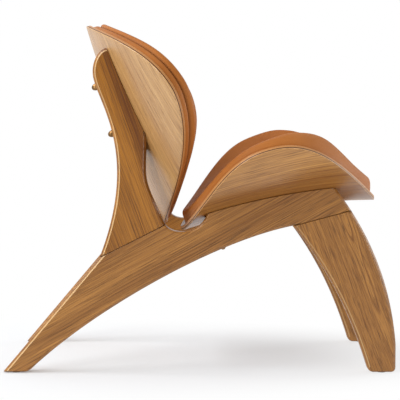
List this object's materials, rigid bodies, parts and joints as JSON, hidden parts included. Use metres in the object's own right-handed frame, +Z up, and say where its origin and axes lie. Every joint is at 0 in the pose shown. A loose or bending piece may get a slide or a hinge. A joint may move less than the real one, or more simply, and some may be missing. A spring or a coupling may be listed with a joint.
{
  "type": "lounge chair",
  "caption": "Low lounge chair with two curved moulded plywood shells, leather pads on their sitter side, and solid wood side frames joined by cross rails.",
  "frame": {"origin": "on the floor, under the middle of the chair's box", "axes": "+X points forward, the way the sitter faces, +Y to the sitter's left, +Z up"},
  "size_m": [0.826, 0.6872, 0.7397],
  "materials": {
    "frame_wood": "satin lacquered solid oak, stained mid brown",
    "shell_ply": "satin lacquered veneer over laminated plies",
    "leather": "smooth tan leather with a soft sheen",
    "foam": "matt upholstery foam",
    "pad_board": "raw thin plywood",
    "brass": "aged brass",
    "dowel_wood": "raw beech",
    "glide": "dark nylon"
  },
  "bodies": {
    "root": {"back_post_left": "frame_wood", "back_post_right": "frame_wood", "seat_rail_left": "frame_wood", "seat_rail_right": "frame_wood", "front_leg_left": "frame_wood", "front_leg_right": "frame_wood", "front_cross_rail": "frame_wood", "rear_cross_rail": "frame_wood", "seat_shell": "shell_ply", "back_shell": "shell_ply", "seat_pad_cover": "leather", "back_pad_cover": "leather", "seat_pad_foam": "foam", "back_pad_foam": "foam", "seat_pad_board": "pad_board", "back_pad_board": "pad_board", "back_lower_left_bolt": "brass", "back_lower_right_bolt": "brass", "back_upper_left_bolt": "brass", "back_upper_right_bolt": "brass", "seat_rear_left_bolt": "brass", "seat_rear_right_bolt": "brass", "seat_front_left_bolt": "brass", "seat_front_right_bolt": "brass", "back_lower_left_insert": "brass", "back_lower_right_insert": "brass", "back_upper_left_insert": "brass", "back_upper_right_insert": "brass", "seat_rear_left_insert": "brass", "seat_rear_right_insert": "brass", "seat_front_left_insert": "brass", "seat_front_right_insert": "brass", "post_dowel_left_1": "dowel_wood", "post_dowel_left_2": "dowel_wood", "post_dowel_right_1": "dowel_wood", "post_dowel_right_2": "dowel_wood", "leg_dowel_left_1": "dowel_wood", "leg_dowel_left_2": "dowel_wood", "leg_dowel_right_1": "dowel_wood", "leg_dowel_right_2": "dowel_wood", "cross_rail_dowel_left_1": "dowel_wood", "cross_rail_dowel_left_2": "dowel_wood", "cross_rail_dowel_left_3": "dowel_wood", "cross_rail_dowel_left_4": "dowel_wood", "cross_rail_dowel_right_1": "dowel_wood", "cross_rail_dowel_right_2": "dowel_wood", "cross_rail_dowel_right_3": "dowel_wood", "cross_rail_dowel_right_4": "dowel_wood", "rear_glide_left": "glide", "rear_glide_right": "glide", "front_glide_left": "glide", "front_glide_right": "glide"}
  },
  "joints": []
}
